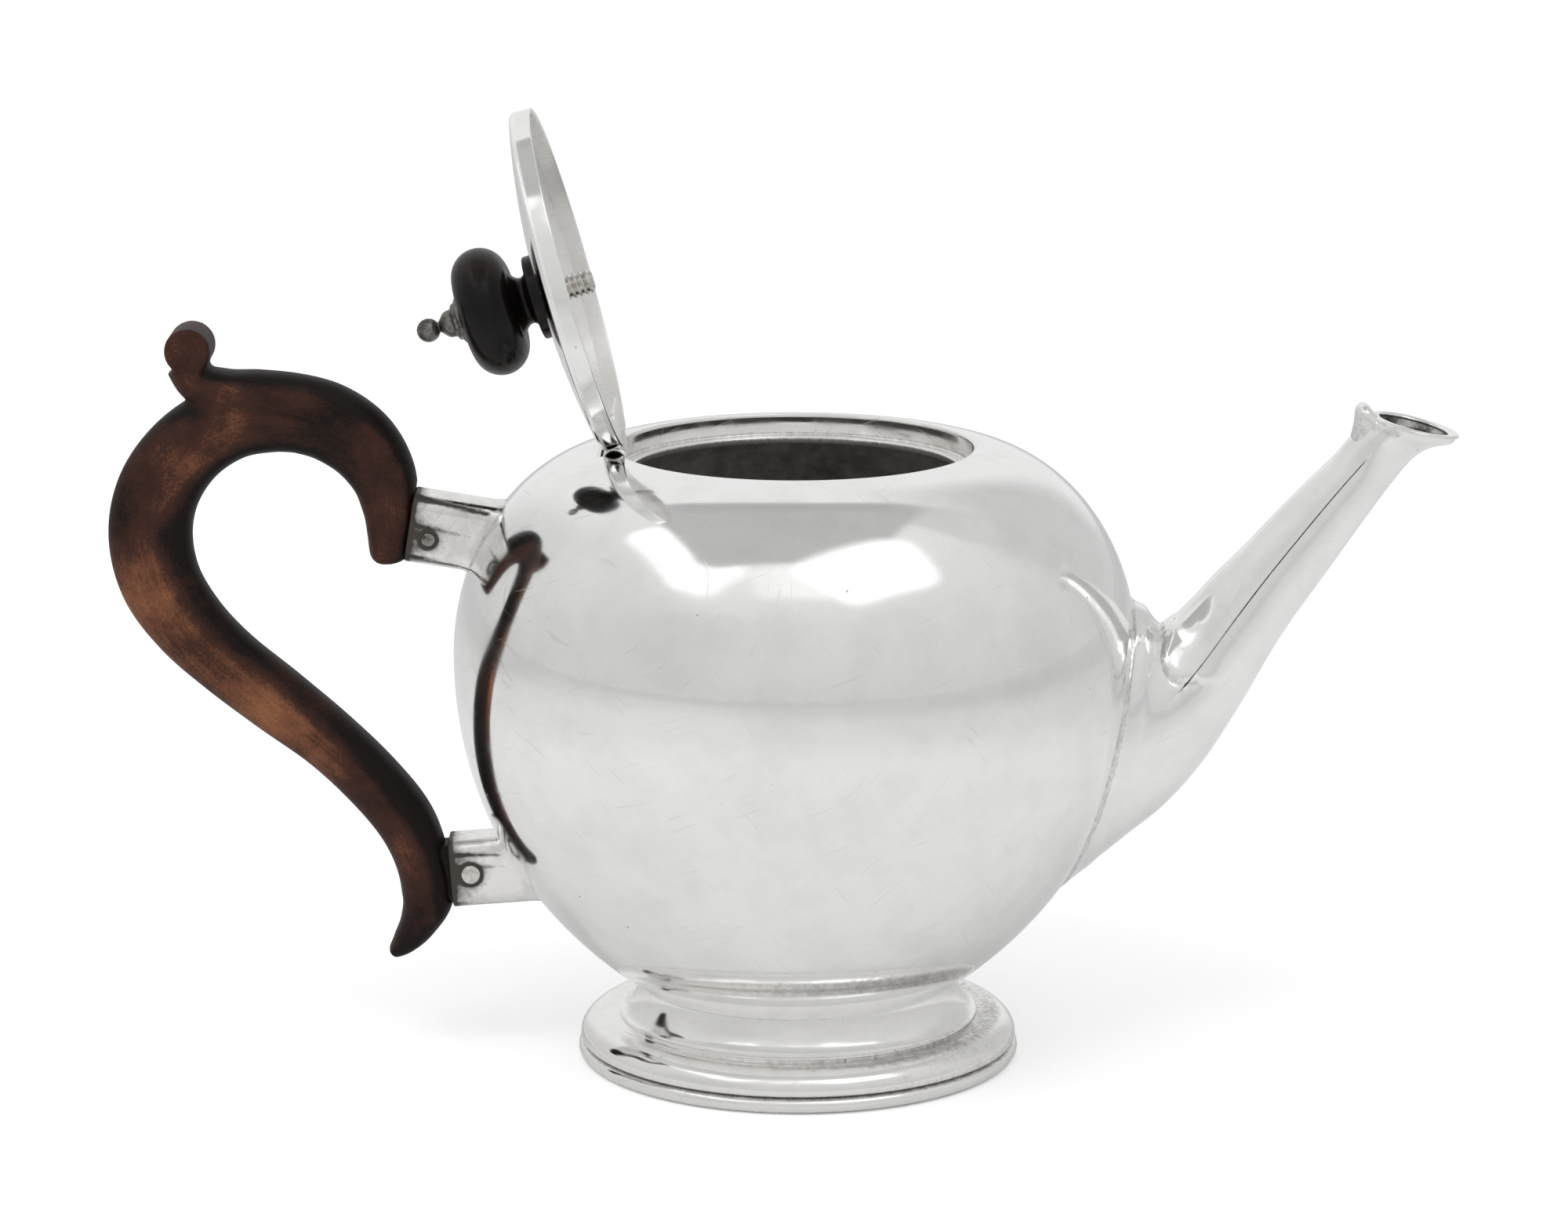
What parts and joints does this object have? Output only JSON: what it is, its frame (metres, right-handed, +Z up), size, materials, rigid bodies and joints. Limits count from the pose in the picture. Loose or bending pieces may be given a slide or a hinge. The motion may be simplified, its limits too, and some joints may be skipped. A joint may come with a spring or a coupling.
{
  "type": "teapot",
  "caption": "Round-bodied silver teapot with a moulded foot, straight tapering spout, double-scroll wooden handle and a flush hinged lid with a turned wooden knob, lid standing open.",
  "frame": {"origin": "on the axis of the round body, on the plane that the foot stands on", "axes": "+X from the handle towards the spout, +Y across the pot along the hinge pin, +Z up"},
  "size_m": [0.228, 0.116, 0.1629],
  "materials": {
    "silver": "polished, finely scratched",
    "dull_silver": "worn, slightly tarnished",
    "handle_wood": "waxed, darkened by use",
    "knob_wood": "ebonised, satin",
    "steel_pin": "tarnished",
    "screw_steel": "turned"
  },
  "bodies": {
    "pot": {"body_shell": "silver", "mouth_ring": "dull_silver", "foot_shell": "silver", "foot_bead": "silver", "spout_lower_shell": "silver", "spout_upper_shell": "silver", "spout_tip_scroll": "silver", "upper_socket": "silver", "lower_socket": "silver", "handle": "handle_wood", "upper_handle_pin": "steel_pin", "lower_handle_pin": "steel_pin", "hinge_seat": "dull_silver", "pot_knuckles": "silver", "hinge_pin": "steel_pin"},
    "lid": {"lid_leaf": "silver", "lid_dome": "silver", "lid_band": "silver", "knob": "knob_wood", "finial": "dull_silver", "knob_screw": "screw_steel", "knob_nut": "screw_steel"}
  },
  "joints": [
    {"name": "lid_hinge", "type": "hinge", "parent": "pot", "child": "lid", "pos_m": [-0.0303, 0, 0.1048], "axis": [0, 1, 0], "range_deg": [0, 105.6]}
  ]
}
